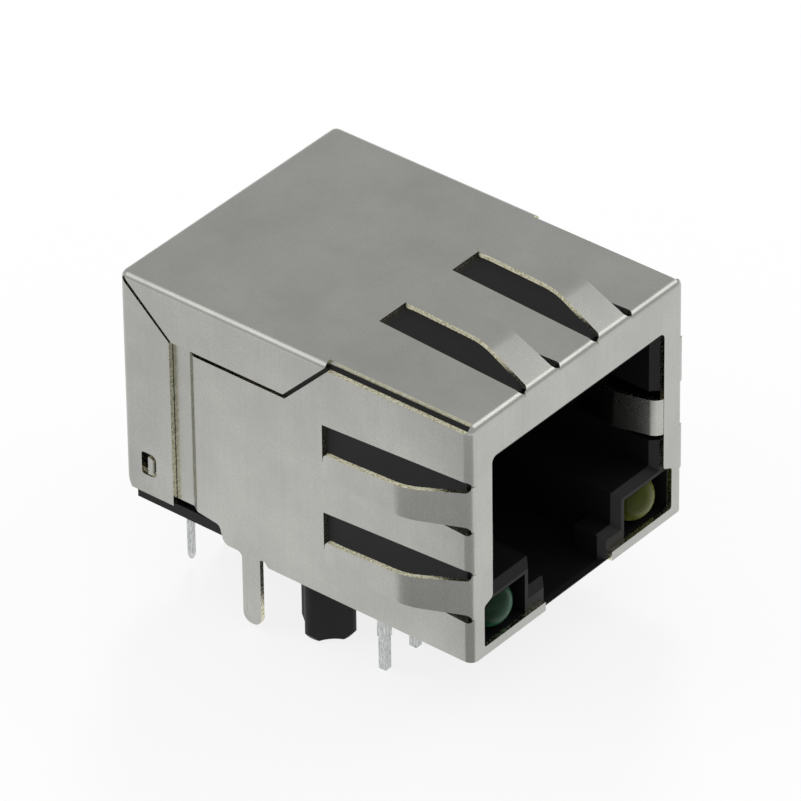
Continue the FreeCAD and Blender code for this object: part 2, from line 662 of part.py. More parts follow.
def contact(index):
    """A spring contact: a run along the ceiling, a front bend and a sloping free leg."""
    half = CONTACT_T / 2
    radius = CONTACT_BEND
    hub = vec(0, CONTACT_FRONT + radius, CONTACT_Z - radius)
    wires = []
    for side in (-half, half):
        r = radius + side
        high = CONTACT_Z + side
        swing = math.radians(180) - CONTACT_FALL
        first = hub + vec(0, 0, r)
        middle = hub + vec(0, -math.sin(swing / 2), math.cos(swing / 2)) * r
        last = hub + vec(0, -math.sin(swing), math.cos(swing)) * r
        along = vec(0, math.cos(CONTACT_FALL), -math.sin(CONTACT_FALL))
        tip = last + along * ((CONTACT_TIP_Y - last.y) / along.y)
        corner = vec(0, BOARD_HOLE_Y + side, high)
        foot = vec(0, BOARD_HOLE_Y + side, CASE_HIGH - 0.6)
        wires.append([foot, corner, first, middle, last, tip])
    edges = []
    for line in wires:
        edges.append(Part.makeLine(line[0], line[1]))
        edges.append(Part.makeLine(line[1], line[2]))
        edges.append(Part.Arc(line[2], line[3], line[4]).toShape())
        edges.append(Part.makeLine(line[4], line[5]))
    edges.append(Part.makeLine(wires[0][0], wires[1][0]))
    edges.append(Part.makeLine(wires[0][-1], wires[1][-1]))
    face = Part.Face(Part.Wire(Part.__sortEdges__(edges)))
    face.translate(vec(contact_x(index) - CONTACT_W / 2, 0, 0))
    return face.extrude(vec(CONTACT_W, 0, 0))


def contact_carrier(contacts):
    """The bar moulded round the contacts behind the housing."""
    edge = ROW_HALF + CARRIER_EDGE
    bar = box(-edge, edge, HOUSE_REAR, HOUSE_REAR + CARRIER_DEPTH, CONTACT_Z - CARRIER_BELOW,
              CONTACT_Z + CARRIER_ABOVE)
    return cut(bar, contacts)


def pin_spots():
    """Plan positions of the signal pins: the rear row, then the front row."""
    spots = []
    for step in range(5):
        spots.append((-PEG_X + step * PIN_PITCH, REAR_ROW_Y))
    for step in range(5):
        spots.append((PEG_X - step * PIN_PITCH, FRONT_ROW_Y))
    return spots


def signal_pin(spot):
    return Part.makeCylinder(PIN_R, PIN_TOP - PIN_TIP, vec(spot[0], spot[1], PIN_TIP), vec(0, 0, 1))


def core_spots():
    return [(step - (CORES - 1) / 2) * CORE_PITCH for step in range(CORES)]


def wound_core(at_x):
    """A ring core with its wire layer, as one ring standing on edge."""
    base = vec(at_x, CORE_Y - CORE_T / 2, CORE_Z)
    ring = Part.makeCylinder(CORE_R, CORE_T, base, vec(0, 1, 0))
    hole = Part.makeCylinder(CORE_HOLE, CORE_T, base, vec(0, 1, 0))
    return ring.cut(hole)


def module_case():
    """The open box behind the housing that holds the cores and the pins."""
    front = HOUSE_REAR
    base = box(-BASE_HALF, BASE_HALF, front, BASE_REAR, BASE_LOW, BASE_HIGH)
    walls = box(-CASE_HALF, CASE_HALF, front, CASE_REAR, BASE_HIGH, CASE_HIGH)
    hollow = box(-CASE_HALF + CASE_WALL, CASE_HALF - CASE_WALL, front + CASE_WALL,
                 CASE_REAR - CASE_WALL, CASE_FLOOR, CASE_HIGH + 1)
    rib = box(-CASE_HALF + CASE_WALL / 2, CASE_HALF - CASE_WALL / 2, CORE_Y - CORE_T * 0.4,
              CORE_Y + CORE_T * 0.4, CASE_FLOOR - 0.2, BED_HIGH)
    holes = [signal_pin(spot) for spot in pin_spots()]
    feet = []
    for at_x in (-FOOT_X, 0.0, FOOT_X):
        feet.append(box(at_x - FOOT / 2, at_x + FOOT / 2, BASE_REAR - FOOT, BASE_REAR, 0, BASE_LOW + 0.05))
    body = fused([base, walls]).cut(hollow)
    body = fused([body, rib] + feet)
    return cut(body, holes)


def circuit_board():
    """The board on the case's rim, with plated holes for the contacts."""
    edge = CASE_HALF - BOARD_GAP
    plate = box(-edge, edge, HOUSE_REAR + BOARD_GAP, CASE_REAR - BOARD_GAP, CASE_HIGH, CASE_HIGH + BOARD_T)
    holes = []
    for index in range(CONTACTS):
        at = contact_x(index)
        holes.append(box(at - CONTACT_W / 2, at + CONTACT_W / 2, BOARD_HOLE_Y - CONTACT_T / 2,
                         BOARD_HOLE_Y + CONTACT_T / 2, CASE_HIGH - 1, CASE_HIGH + BOARD_T + 1))
    return cut(plate, holes)


def led(sign):
    """A lamp: a round body with a domed front, flat above and below, on a wider base."""
    middle = sign * LED_X
    hub = vec(middle, DOME_Y, DOME_Z)
    front = hub - vec(0, DOME_R, 0)
    crest = hub + vec(0, -math.sin(math.radians(45)), math.cos(math.radians(45))) * DOME_R
    over = hub + vec(0, 0, DOME_R)
    rear = vec(middle, LED_FLANGE_Y + 0.1, DOME_Z)
    edges = [Part.Arc(front, crest, over).toShape(), Part.makeLine(over, rear + vec(0, 0, DOME_R)),
             Part.makeLine(rear + vec(0, 0, DOME_R), rear), Part.makeLine(rear, front)]
    lens = Part.Face(Part.Wire(edges)).revolve(hub, vec(0, 1, 0), 360)
    lens = lens.common(box(middle - 2, middle + 2, 0, LED_REAR, LED_LOW, LED_HIGH))
    base = front_prism([(middle - LED_HALF, LED_LOW, LED_ROUND), (middle + LED_HALF, LED_LOW, LED_ROUND),
                        (middle + LED_HALF, LED_HIGH, LED_ROUND), (middle - LED_HALF, LED_HIGH, LED_ROUND)],
                       LED_FLANGE_Y, LED_REAR)
    return fused([base, lens])


def led_lead(sign, side):
    """A lamp lead: out of the lamp's rear face, bent down through the housing floor."""
    at_x = sign * LED_X + side * LEAD_OFFSET
    half = LEAD_SHOULDER / 2
    high = (LED_LOW + LED_HIGH) / 2
    run = side_prism([(LED_REAR, high - half, 0), (LEAD_Y - half, high - half, 0.1),
                      (LEAD_Y - half, LEAD_STEP, 0), (LEAD_Y + half, LEAD_STEP, 0),
                      (LEAD_Y + half, high + half, 0.5), (LED_REAR, high + half, 0)],
                     at_x - half, at_x + half)
    half = LEAD / 2
    tail = box(at_x - half, at_x + half, LEAD_Y - half, LEAD_Y + half, LEAD_TIP, LEAD_STEP + 0.1)
    tip = [edge for edge in tail.Edges if abs(edge.CenterOfMass.z - LEAD_TIP) < 0.01]
    tail = tail.makeChamfer(0.12, tip)
    return fused([run, tail])


def chip(at_x, long_x, long_y, high):
    """A component standing on the board, its middle at at_x."""
    low = CASE_HIGH + BOARD_T
    return box(at_x - long_x / 2, at_x + long_x / 2, COMPONENT_Y - long_y / 2, COMPONENT_Y + long_y / 2, low,
               low + high)


save("shield", shield())
save("housing", housing())
wires = [contact(index) for index in range(CONTACTS)]
for index in range(CONTACTS):
    save("contact_" + str(index + 1), wires[index])
save("contact_carrier", contact_carrier(wires))
save("module_case", module_case())
save("circuit_board", circuit_board())
for index, spot in enumerate(pin_spots()):
    save("signal_pin_" + str(index + 1), signal_pin(spot))
for index, at_x in enumerate(core_spots()):
    save("wound_core_" + str(index + 1), wound_core(at_x))
for index in range(4):
    save("resistor_" + str(index + 1), chip(CHIP_X + index * CHIP_PITCH, CHIP_W, CHIP_L, CHIP_H))
save("capacitor", chip(CAPACITOR_X, CAPACITOR_L, CAPACITOR_W, CAPACITOR_H))
save("led_green", led(-1))
save("led_yellow", led(1))
number = 1
for sign in (-1, 1):
    for side in (-1, 1):
        save("led_lead_" + str(number), led_lead(sign, side))
        number += 1
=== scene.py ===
"""Studio scene of a shielded right-angle board jack with two lamps.

It is laid out as a Blender add-on and run as a script. Values in capitals are millimetres unless a comment
says otherwise, with heights counted from the board and y from the front panel backwards.
"""

import math

import bmesh
import bpy
import numpy as np
from mathutils import Matrix, Vector
from mathutils.bvhtree import BVHTree


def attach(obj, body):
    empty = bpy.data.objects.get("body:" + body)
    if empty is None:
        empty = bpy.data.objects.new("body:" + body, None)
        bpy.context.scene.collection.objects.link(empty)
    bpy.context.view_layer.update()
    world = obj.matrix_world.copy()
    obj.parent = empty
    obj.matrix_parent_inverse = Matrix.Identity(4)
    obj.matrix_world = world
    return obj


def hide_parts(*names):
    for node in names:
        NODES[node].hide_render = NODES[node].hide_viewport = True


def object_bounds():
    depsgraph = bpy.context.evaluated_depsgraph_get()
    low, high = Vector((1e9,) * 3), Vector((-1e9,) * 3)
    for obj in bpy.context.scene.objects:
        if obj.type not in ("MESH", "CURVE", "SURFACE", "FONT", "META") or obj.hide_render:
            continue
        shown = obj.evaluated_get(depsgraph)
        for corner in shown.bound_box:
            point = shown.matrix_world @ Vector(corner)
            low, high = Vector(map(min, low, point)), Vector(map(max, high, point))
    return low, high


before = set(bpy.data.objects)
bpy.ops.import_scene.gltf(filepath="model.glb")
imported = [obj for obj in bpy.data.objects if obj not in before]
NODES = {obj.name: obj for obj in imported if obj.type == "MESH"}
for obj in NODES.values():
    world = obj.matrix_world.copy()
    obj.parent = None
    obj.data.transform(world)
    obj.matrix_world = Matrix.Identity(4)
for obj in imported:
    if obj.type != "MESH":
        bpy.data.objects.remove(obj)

bl_info = {
    "name": "Board Jack Scene",
    "version": (1, 0, 0),
    "blender": (4, 5, 0),
    "location": "View3D > Sidebar > Board Jack",
    "description": "Dresses a shielded board jack and sets up its studio",
    "category": "Object",
}

# One millimetre in the frame's metres, the CAD box, and its nodes by name
MM = 0.001
CAD_LOW, CAD_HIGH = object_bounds()

# How many plug contacts and signal pins there are
CONTACTS = 8
PINS = 10

# From the front panel back to the frame's origin, midway between the pegs
PEG_Y = 10.5

# The shield's thickness, its side walls' outer face and its top, and what counts as proud of them
SHEET_T = 0.25
WALL_X = 7.95
TOP_Z = 13.49
PROUD = 0.02

# Where the front bends have ended, and the |x| of a normal past which its face looks sideways
FRONT_BEND = 1.5
SIDEWAYS = 0.3

# A pin's rounded end, the width of its foot as a share of its root's, and the number of its sides
PIN_TIP = 0.45
PIN_FOOT = 0.96
PIN_SIDES = 28

# Half the latch channel's width, the heights of its floor and front edge, solid and drawn, and their slack
CHANNEL_HALF = 3.2
CHANNEL_LEVELS = ((0.75, 0.37), (0.45, 0.31))
LEVEL_SLACK = 0.01

# Angles in degrees: what is smooth on pressed and moulded pieces and on lamps, and what gets a rounded edge
SMOOTH_TURN = 32
LAMP_SMOOTH_TURN = 50
EDGE_TURN = 40

# The values between which nearly all of a noise lies
NOISE_LOW = 0.3
NOISE_HIGH = 0.7

# Half the floor's side and the lamps' distance, both in metres, and the strength of the floor's plain white
FLOOR_REACH = 3.0
LAMP_DISTANCE = 0.7
FLOOR_WHITE = 1.04

# The photograph's camera: place, azimuth, elevation and roll in degrees, and focal length on a 36 mm sensor
CAMERA_PLACE = (-257.789, -202.729, 239.738)
CAMERA_TURN = (-50.38, 34.91, -0.76)
CAMERA_LENS = 390.3
CAMERA_SENSOR = 36.0


# Helpers


def linear(code):
    """An sRGB hex code as linear RGBA.

    Each part c turns to c / 12.92 up to 0.04045, and above it to (c + 0.055) / 1.055 to the power of 2.4.
    """
    parts = [int(code[i:i + 2], 16) / 255 for i in (1, 3, 5)]
    flat = [c / 12.92 if c <= 0.04045 else ((c + 0.055) / 1.055) ** 2.4 for c in parts]
    return (*flat, 1.0)


def add(tree, kind, settings=None, links=None, **fields):
    """Adds a node: fields are its attributes, settings its input values and links its inputs' sources."""
    item = tree.nodes.new(kind)
    for name, value in fields.items():
        setattr(item, name, value)
    for key, value in (settings or {}).items():
        item.inputs[key].default_value = value
    for key, source in (links or {}).items():
        tree.links.new(source, item.inputs[key])
    return item


def fresh(name):
    """A new material and its empty node tree."""
    material = bpy.data.materials.new(name)
    material.use_nodes = True
    material.node_tree.nodes.clear()
    return material, material.node_tree


def mottle(tree, spacing, detail, rough):
    """A noise on Object coordinates whose cells measure spacing = (x, y, z) millimetres."""
    place = add(tree, "ShaderNodeTexCoord")
    scale = tuple(1 / (s * MM) for s in spacing)
    mapping = add(tree, "ShaderNodeMapping", {"Scale": scale}, {"Vector": place.outputs["Object"]})
    return add(tree, "ShaderNodeTexNoise", {"Scale": 1.0, "Detail": detail, "Roughness": rough},
               {"Vector": mapping.outputs["Vector"]}).outputs["Fac"]


def toned(tree, value, low, high, dark, light):
    """A colour that turns from dark to light while the value goes from low to high."""
    share = add(tree, "ShaderNodeMapRange", {"From Min": low, "From Max": high}, {"Value": value})
    mix = add(tree, "ShaderNodeMix", {"A": linear(dark), "B": linear(light)},
              {"Factor": share.outputs["Result"]}, data_type="RGBA")
    return mix.outputs["Result"]


def surface(tree, colour, pattern, rough, relief=None, settings=None):
    """A Principled shader whose roughness and relief follow one pattern.

    The roughness goes from rough[0] to rough[1] while the pattern goes from NOISE_LOW to NOISE_HIGH. The
    relief is (strength, height in millimetres), and settings holds what is the same all over the surface.
    """
    share = add(tree, "ShaderNodeMapRange",
                {"From Min": NOISE_LOW, "From Max": NOISE_HIGH, "To Min": rough[0], "To Max": rough[1]},
                {"Value": pattern})
    links = {"Base Color": colour, "Roughness": share.outputs["Result"]}
    if relief:
        bump = add(tree, "ShaderNodeBump", {"Strength": relief[0], "Distance": relief[1] * MM},
                   {"Height": pattern})
        links["Normal"] = bump.outputs["Normal"]
    return add(tree, "ShaderNodeBsdfPrincipled", settings, links).outputs["BSDF"]


# Materials


def pass_mirrored(tree, shader):
    """Lets mirror rays pass what stands proud of the walls and the top.

    A point is proud where |x| > WALL_X + PROUD or z > TOP_Z + PROUD, so the walls and the top show no image
    of the fingers that are bent out of them.
    """
    place = add(tree, "ShaderNodeTexCoord").outputs["Object"]
    split = add(tree, "ShaderNodeSeparateXYZ", links={"Vector": place})
    aside = add(tree, "ShaderNodeMath", links={0: split.outputs["X"]}, operation="ABSOLUTE")
    aside = add(tree, "ShaderNodeMath", {1: (WALL_X + PROUD) * MM}, {0: aside.outputs["Value"]},
                operation="GREATER_THAN")
    above = add(tree, "ShaderNodeMath", {1: (TOP_Z + PROUD) * MM}, {0: split.outputs["Z"]},
                operation="GREATER_THAN")
    proud = add(tree, "ShaderNodeMath", links={0: aside.outputs["Value"], 1: above.outputs["Value"]},
                operation="MAXIMUM")
    mirrored = add(tree, "ShaderNodeLightPath").outputs["Is Glossy Ray"]
    share = add(tree, "ShaderNodeMath", links={0: proud.outputs["Value"], 1: mirrored},
                operation="MULTIPLY")
    clear = add(tree, "ShaderNodeBsdfTransparent").outputs["BSDF"]
    return add(tree, "ShaderNodeMixShader",
               links={0: share.outputs["Value"], 1: shader, 2: clear}).outputs["Shader"]


def rolled_nickel_sheet(settings):
    """Nickel plate on cold-rolled brass: a soft grey mirror with faint upright rolling marks on the walls.

    The tone is 0.15 of the marks, 0.45 of a clouding 3 mm across and 0.4 of the plating's grain. The grain
    is finer than a render shows, so it is drawn 0.08 mm across. A face is a wall where its normal's z is
    below 0.6, and elsewhere the marks are even.
    """
    mark_run, cloud_width, grain_width = 7.0, 3.0, 0.08
    mark_share, cloud_share, grain_share = 0.15, 0.45, 0.4
    wall_limit, middle_tone, rough_swing = 0.6, 0.5, 0.03
    material, tree = fresh("nickel_plated_rolled_sheet")
    facing = add(tree, "ShaderNodeTexCoord").outputs["Normal"]
    lift = add(tree, "ShaderNodeSeparateXYZ", links={"Vector": facing}).outputs["Z"]
    wall = add(tree, "ShaderNodeMath", {1: wall_limit}, {0: lift}, operation="LESS_THAN").outputs["Value"]
    spacing = settings.mark_spacing / MM
    marks = mottle(tree, (spacing, spacing, mark_run), 3.0, 0.6)
    marks = add(tree, "ShaderNodeMix", {"A": middle_tone}, {"Factor": wall, "B": marks}, data_type="FLOAT")
    cloud = mottle(tree, (cloud_width, cloud_width, cloud_width), 3.0, 0.55)
    grain = mottle(tree, (grain_width, grain_width, grain_width), 2.0, 0.7)
    tone = add(tree, "ShaderNodeMath", {1: mark_share}, {0: marks.outputs["Result"]}, operation="MULTIPLY")
    for pattern, share in ((cloud, cloud_share), (grain, grain_share)):
        tone = add(tree, "ShaderNodeMath", {1: share}, {0: pattern, 2: tone.outputs["Value"]},
                   operation="MULTIPLY_ADD")
    tone = tone.outputs["Value"]
    colour = toned(tree, tone, NOISE_LOW, NOISE_HIGH, settings.dark, settings.light)
    rough = (settings.roughness + rough_swing, settings.roughness - rough_swing)
    shader = surface(tree, colour, tone, rough, relief=(0.07, 0.006), settings={"Metallic": 1.0})
    add(tree, "ShaderNodeOutputMaterial", links={"Surface": pass_mirrored(tree, shader)})
    return material


def sheared_brass_edge(settings):
    """The bare brass of a sheared sheet edge: yellower and rougher than the plated faces.

    The tears that the die leaves are finer than a render shows, so they are drawn 0.12 mm across.
    """
    tear = 0.12
    material, tree = fresh("sheared_brass_edge")
    drag = mottle(tree, (tear, tear, tear), 3.0, 0.65)
    colour = toned(tree, drag, 0.35, 0.62, settings.edge_dark, settings.edge_light)
    shader = surface(tree, colour, drag, (0.2, 0.34), relief=(0.5, 0.02), settings={"Metallic": 1.0})
    add(tree, "ShaderNodeOutputMaterial", links={"Surface": pass_mirrored(tree, shader)})
    return material


def moulded_black_polyester(settings):
    """Glass-filled polyester from a spark-eroded mould: near black, with a low broad sheen.

    The mould's texture is about 0.02 mm across and is drawn at 0.05 mm, so that it shows. The tone follows
    the flow of the filling, 2.5 mm across.
    """
    texture, flow_width = 0.05, 2.5
    material, tree = fresh("moulded_black_polyester")
    fine = mottle(tree, (texture, texture, texture), 2.0, 0.6)
    flow = mottle(tree, (flow_width, flow_width, flow_width), 2.0, 0.5)
    colour = toned(tree, flow, 0.0, 1.0, settings.dark, settings.light)
    shader = surface(tree, colour, fine, (0.46, 0.58), relief=(0.25, 0.004),
                     settings={"IOR": 1.5, "Specular IOR Level": 0.25})
    add(tree, "ShaderNodeOutputMaterial", links={"Surface": shader})
    return material


def tinted_lamp_resin(name, deep, pale):
    """Cast epoxy tinted in the mass with a diffusing filler: deep seen straight on, and paler at its rims by
    a painted rim highlight.

    The tone is the Facing weight, which paints the rim highlight, plus 0.3 of a clouding 0.8 mm across.
    """
    cloud_width, cloud_share, scatter = 0.8, 0.3, 0.6
    material, tree = fresh(name)
    cloud = mottle(tree, (cloud_width, cloud_width, cloud_width), 2.0, 0.5)
    # Painted rim highlight: the colour pales where the surface turns away from the view
    rim = add(tree, "ShaderNodeLayerWeight", {"Blend": 0.5}).outputs["Facing"]
    tone = add(tree, "ShaderNodeMath", {1: cloud_share}, {0: cloud, 2: rim}, operation="MULTIPLY_ADD")
    colour = toned(tree, tone.outputs["Value"], 0.45, 1.0, deep, pale)
    shader = add(tree, "ShaderNodeBsdfPrincipled",
                 {"Roughness": 0.25, "IOR": 1.53, "Specular IOR Level": 0.12, "Subsurface Weight": 0.3,
                  "Subsurface Scale": scatter * MM, "Subsurface Radius": (1.0, 1.0, 1.0)},
                 {"Base Color": colour})
    add(tree, "ShaderNodeOutputMaterial", links={"Surface": shader.outputs["BSDF"]})
    return material


def drawn_metal(name, dark, light, rough, run):
    """Plated drawn wire: streaks of the given run in millimetres, as the die or the dip leaves them.

    The streaks are finer than a render shows, so they are drawn 0.07 mm across.
    """
    streak_width = 0.07
    material, tree = fresh(name)
    fibre = mottle(tree, (streak_width, streak_width, run), 3.0, 0.6)
    streak = add(tree, "ShaderNodeMapRange", {"From Min": 0.35, "From Max": 0.65}, {"Value": fibre})
    streak = streak.outputs["Result"]
    colour = toned(tree, streak, 0.0, 1.0, dark, light)
    shader = surface(tree, colour, streak, rough, settings={"Metallic": 1.0})
    add(tree, "ShaderNodeOutputMaterial", links={"Surface": shader})
    return material


def plain_solid(name, dark, light, cell, roughness):
    """An even solid stuff such as laminate, enamelled winding or fired ceramic, mottled in cells of a size.

    The cell is in millimetres. What is inside the module is hidden, so it is finished plainly.
    """
    swing = 0.06
    material, tree = fresh(name)
    grain = mottle(tree, (cell, cell, cell), 3.0, 0.6)
    colour = toned(tree, grain, 0.0, 1.0, dark, light)
    shader = surface(tree, colour, grain, (roughness - swing, roughness + swing))
    add(tree, "ShaderNodeOutputMaterial", links={"Surface": shader})
    return material


def matt_card(name, tone):
    """Matt card of an even grey, from 0 for black to 1 for white."""
    material, tree = fresh(name)
    shader = add(tree, "ShaderNodeBsdfPrincipled",
                 {"Base Color": (tone, tone, tone, 1.0), "Roughness": 0.9, "Specular IOR Level": 0.0})
    add(tree, "ShaderNodeOutputMaterial", links={"Surface": shader.outputs["BSDF"]})
    return material


def pale_floor_card(lift):
    """Pale matt card: where it is seen or mirrored, a share of it, the lift, is plain white and no light.

    The rest keeps the object's shadow. From below the card is clear, so that the underside shows.
    """
    material, tree = fresh("pale_floor_card")
    path = add(tree, "ShaderNodeLightPath").outputs
    seen = path["Is Camera Ray"]
    for ray in ("Is Glossy Ray", "Is Transmission Ray"):
        either = add(tree, "ShaderNodeMath", links={0: seen, 1: path[ray]}, operation="MAXIMUM")
        seen = either.outputs["Value"]
    share = add(tree, "ShaderNodeMath", {1: lift}, {0: seen}, operation="MULTIPLY").outputs["Value"]
    card = add(tree, "ShaderNodeBsdfPrincipled",
               {"Base Color": linear("#F9F9F9"), "Roughness": 0.9, "Specular IOR Level": 0.0})
    white = add(tree, "ShaderNodeEmission", {"Color": (1.0, 1.0, 1.0, 1.0), "Strength": FLOOR_WHITE})
    top = add(tree, "ShaderNodeMixShader",
              links={0: share, 1: card.outputs["BSDF"], 2: white.outputs["Emission"]}).outputs["Shader"]
    below = add(tree, "ShaderNodeNewGeometry").outputs["Backfacing"]
    clear = add(tree, "ShaderNodeBsdfTransparent").outputs["BSDF"]
    shader = add(tree, "ShaderNodeMixShader", links={0: below, 1: top, 2: clear}).outputs["Shader"]
    add(tree, "ShaderNodeOutputMaterial", links={"Surface": shader})
    return material


# Pieces


def corner_rows(mesh):
    """The corners of a mesh as an array with one (x, y, z) row each."""
    flat = np.empty(3 * len(mesh.vertices), dtype=np.float32)
    mesh.vertices.foreach_get("co", flat)
    return flat.reshape(-1, 3).astype(float)


def merged_copy(node, name, angle):
    """A welded copy of a CAD node's mesh, its flat faces joined, smooth where they turn by less than angle.

    Corners within 0.0001 mm are one, and faces count as flat where they turn by less than 0.6 degrees.
    """
    weld, flat = 0.0001 * MM, 0.6
    mesh = NODES[node].data.copy()
    mesh.name = name
    mesh.materials.clear()
    work = bmesh.new()
    work.from_mesh(mesh)
    bmesh.ops.remove_doubles(work, verts=work.verts, dist=weld)
    bmesh.ops.dissolve_limit(work, angle_limit=math.radians(flat), verts=work.verts, edges=work.edges)
    bmesh.ops.recalc_face_normals(work, faces=work.faces)
    for face in work.faces:
        face.smooth = True
    work.to_mesh(mesh)
    work.free()
    for extra in ("custom_normal", "sharp_edge", "sharp_face"):
        if extra in mesh.attributes:
            mesh.attributes.remove(mesh.attributes[extra])
    mesh.set_sharp_from_angle(angle=math.radians(angle))
    piece = bpy.data.objects.new(name, mesh)
    bpy.context.scene.collection.objects.link(piece)
    return piece


def round_edges(piece, width, angle):
    """Rounds the edges that turn by more than angle with a bevel of the given width."""
    bevel = piece.modifiers.new("edge_round", "BEVEL")
    bevel.width = width
    bevel.segments = 2
    bevel.limit_method = "ANGLE"
    bevel.angle_limit = math.radians(angle)
    bevel.use_clamp_overlap = True
    bevel.harden_normals = True


def round_pin(node, name):
    """A pin in place of a CAD cylinder, slimmer downwards and with a rounded end.

    At a height h over the end the radius is R (f + (1 - f) h / H) sqrt(1 - (1 - h / t)^2) for h < t, and the
    root is 1 above t. R is the cylinder's radius, H its length, f PIN_FOOT and t PIN_TIP. The end's heights
    are t (1 - cos a), with a in even steps from a small first one up to a right angle.
    """
    first, steps = 0.12, 9
    corners = corner_rows(NODES[node].data)
    low, high = corners.min(axis=0), corners.max(axis=0)
    centre, radius, length, tip = (low + high) / 2, (high[0] - low[0]) / 2, high[2] - low[2], PIN_TIP * MM
    end = tip * (1 - np.cos(np.linspace(first, math.pi / 2, steps)))
    heights = np.concatenate([end, [length / 2, length]])
    turns = np.linspace(0, 2 * math.pi, PIN_SIDES, endpoint=False)
    slim = PIN_FOOT + (1 - PIN_FOOT) * heights / length
    reach = (radius * slim * np.sqrt(1 - np.clip(1 - heights / tip, 0, 1) ** 2))[:, None]
    rings = np.stack([centre[0] + reach * np.cos(turns), centre[1] + reach * np.sin(turns),
                      low[2] + heights[:, None] + 0 * turns], axis=2).reshape(-1, 3)
    order = np.arange(len(rings)).reshape(len(heights), PIN_SIDES)
    after = np.roll(order, -1, axis=1)
    sides = np.stack([order[:-1], after[:-1], after[1:], order[1:]], axis=2).reshape(-1, 4)
    mesh = bpy.data.meshes.new(name)
    mesh.from_pydata(rings.tolist(), [], sides.tolist() + [order[0][::-1].tolist(), order[-1].tolist()])
    mesh.polygons.foreach_set("use_smooth", [True] * len(sides) + [False] * 2)
    piece = bpy.data.objects.new(name, mesh)
    bpy.context.scene.collection.objects.link(piece)
    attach(piece, "root")
    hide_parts(node)
    return piece


def mark_cut_faces(mesh, thickness):
    """Gives slot 1 to the sheared faces: narrow ones with no opposite face within the sheet's thickness.

    The width of a narrow face is 2 A / P, with A its area and P its perimeter, and 1.1 thicknesses at most.
    The opposite face is looked for from 0.001 mm to 1.3 thicknesses under the middle of the face's largest
    triangle. Behind the front bends and two thicknesses under the top, a face that looks sideways is a part
    of a wall, a bead or a lance, and it is plated.
    """
    narrow, depth, start = 1.1 * thickness, 1.3 * thickness, 0.001 * MM
    top = max(v.co.z for v in mesh.vertices) - 2 * thickness
    front = (FRONT_BEND - PEG_Y) * MM
    mesh.calc_loop_triangles()
    spots = [v.co for v in mesh.vertices]
    tree = BVHTree.FromPolygons(spots, [t.vertices for t in mesh.loop_triangles])
    largest = {}
    for corner in mesh.loop_triangles:
        if corner.area > largest.get(corner.polygon_index, (0.0, None))[0]:
            middle = sum((spots[v] for v in corner.vertices), Vector()) / 3
            largest[corner.polygon_index] = (corner.area, middle)
    marks = []
    for face in mesh.polygons:
        ring = [spots[v] for v in face.vertices]
        around = sum((ring[i] - ring[i - 1]).length for i in range(len(ring)))
        middle = largest[face.index][1] if face.index in largest else face.center
        plated = abs(face.normal.x) > SIDEWAYS and middle.y > front and middle.z < top
        if plated or 2 * face.area / around > narrow:
            marks.append(0)
            continue
        hit = tree.ray_cast(middle - face.normal * start, -face.normal, depth)
        marks.append(1 if hit[0] is None else 0)
    mesh.polygons.foreach_set("material_index", marks)


def thin_channel_floor(mesh):
    """Lowers the latch channel's floor and its front edge to their drawn heights.

    The corners moved are those before the pegs, within CHANNEL_HALF of the middle and at one of the solid's
    heights in CHANNEL_LEVELS, to within LEVEL_SLACK.
    """
    corners = corner_rows(mesh)
    x, y, z = corners.T.copy()
    channel = (np.abs(x) < CHANNEL_HALF * MM) & (y < 0)
    for solid, drawn in CHANNEL_LEVELS:
        corners[channel & (np.abs(z - solid * MM) < LEVEL_SLACK * MM), 2] = drawn * MM
    mesh.vertices.foreach_set("co", corners.ravel())
    mesh.update()


def finish_nodes(material, *prefixes):
    """Gives a material to every CAD node whose name starts with one of the prefixes."""
    for name, piece in NODES.items():
        if name.startswith(prefixes):
            piece.data.materials.clear()
            piece.data.materials.append(material)


# Studio


def flat_card(name, corners, height, material):
    """A card of the stage that lies level, its (x, y) corners and its height in metres of the frame."""
    mesh = bpy.data.meshes.new(name)
    mesh.from_pydata([(x, y, height) for x, y in corners], [], [tuple(range(len(corners)))])
    mesh.materials.append(material)
    card = bpy.data.objects.new(name, mesh)
    bpy.context.scene.collection.objects.link(card)
    return card


def mirrored_cards(settings):
    """Two cards on the floor that only mirror rays meet: painted shade in the left wall's reflection, for
    its darker fields.

    To the camera, the wall's point (y, z) mirrors the floor's point (-8 - 1.105 z, y + 0.914 z). The grey
    card ends 0.7 mm before the wall's front edge and paints shade into the reflection on its front strip and
    the ramps of its fingers. The pale card begins 19.4 mm behind that edge, further forwards from 10 mm up,
    and paints a lighter shade into the reflection on the rear flap and the flap under the top. Their
    outlines are (x, y) from the front panel's middle.
    """
    front_left = ((-8, -0.7), (-41, 26.6), (-60, -12), (-28, -50), (-8, -22))
    rear_left = ((-8, 19.4), (-19, 28.5), (-23, 26), (-23, 19), (-70, 19), (-70, 90), (-8, 90))
    for name, outline, over_floor, tone in (("front_painted_shade", front_left, 0.05, settings.flag),
                                            ("rear_painted_shade", rear_left, 0.03, settings.far_flag)):
        corners = [(x * MM, (y - PEG_Y) * MM) for x, y in outline]
        flag = flat_card(name, corners, CAD_LOW.z + over_floor * MM, matt_card(name + "_card", tone))
        for ray in ("camera", "diffuse", "shadow", "transmission"):
            setattr(flag, "visible_" + ray, False)


def studio_room(scene, strength):
    """The room's even white light, with a plain white ground where the camera sees it."""
    world = bpy.data.worlds.new("studio_room")
    scene.world = world
    world.use_nodes = True
    tree = world.node_tree
    tree.nodes.clear()
    seen = add(tree, "ShaderNodeLightPath").outputs["Is Camera Ray"]
    light = add(tree, "ShaderNodeMapRange", {"To Min": strength, "To Max": 1.0}, {"Value": seen})
    back = add(tree, "ShaderNodeBackground", {"Color": (1.0, 1.0, 1.0, 1.0)},
               {"Strength": light.outputs["Result"]})
    add(tree, "ShaderNodeOutputWorld", links={"Surface": back.outputs["Background"]})


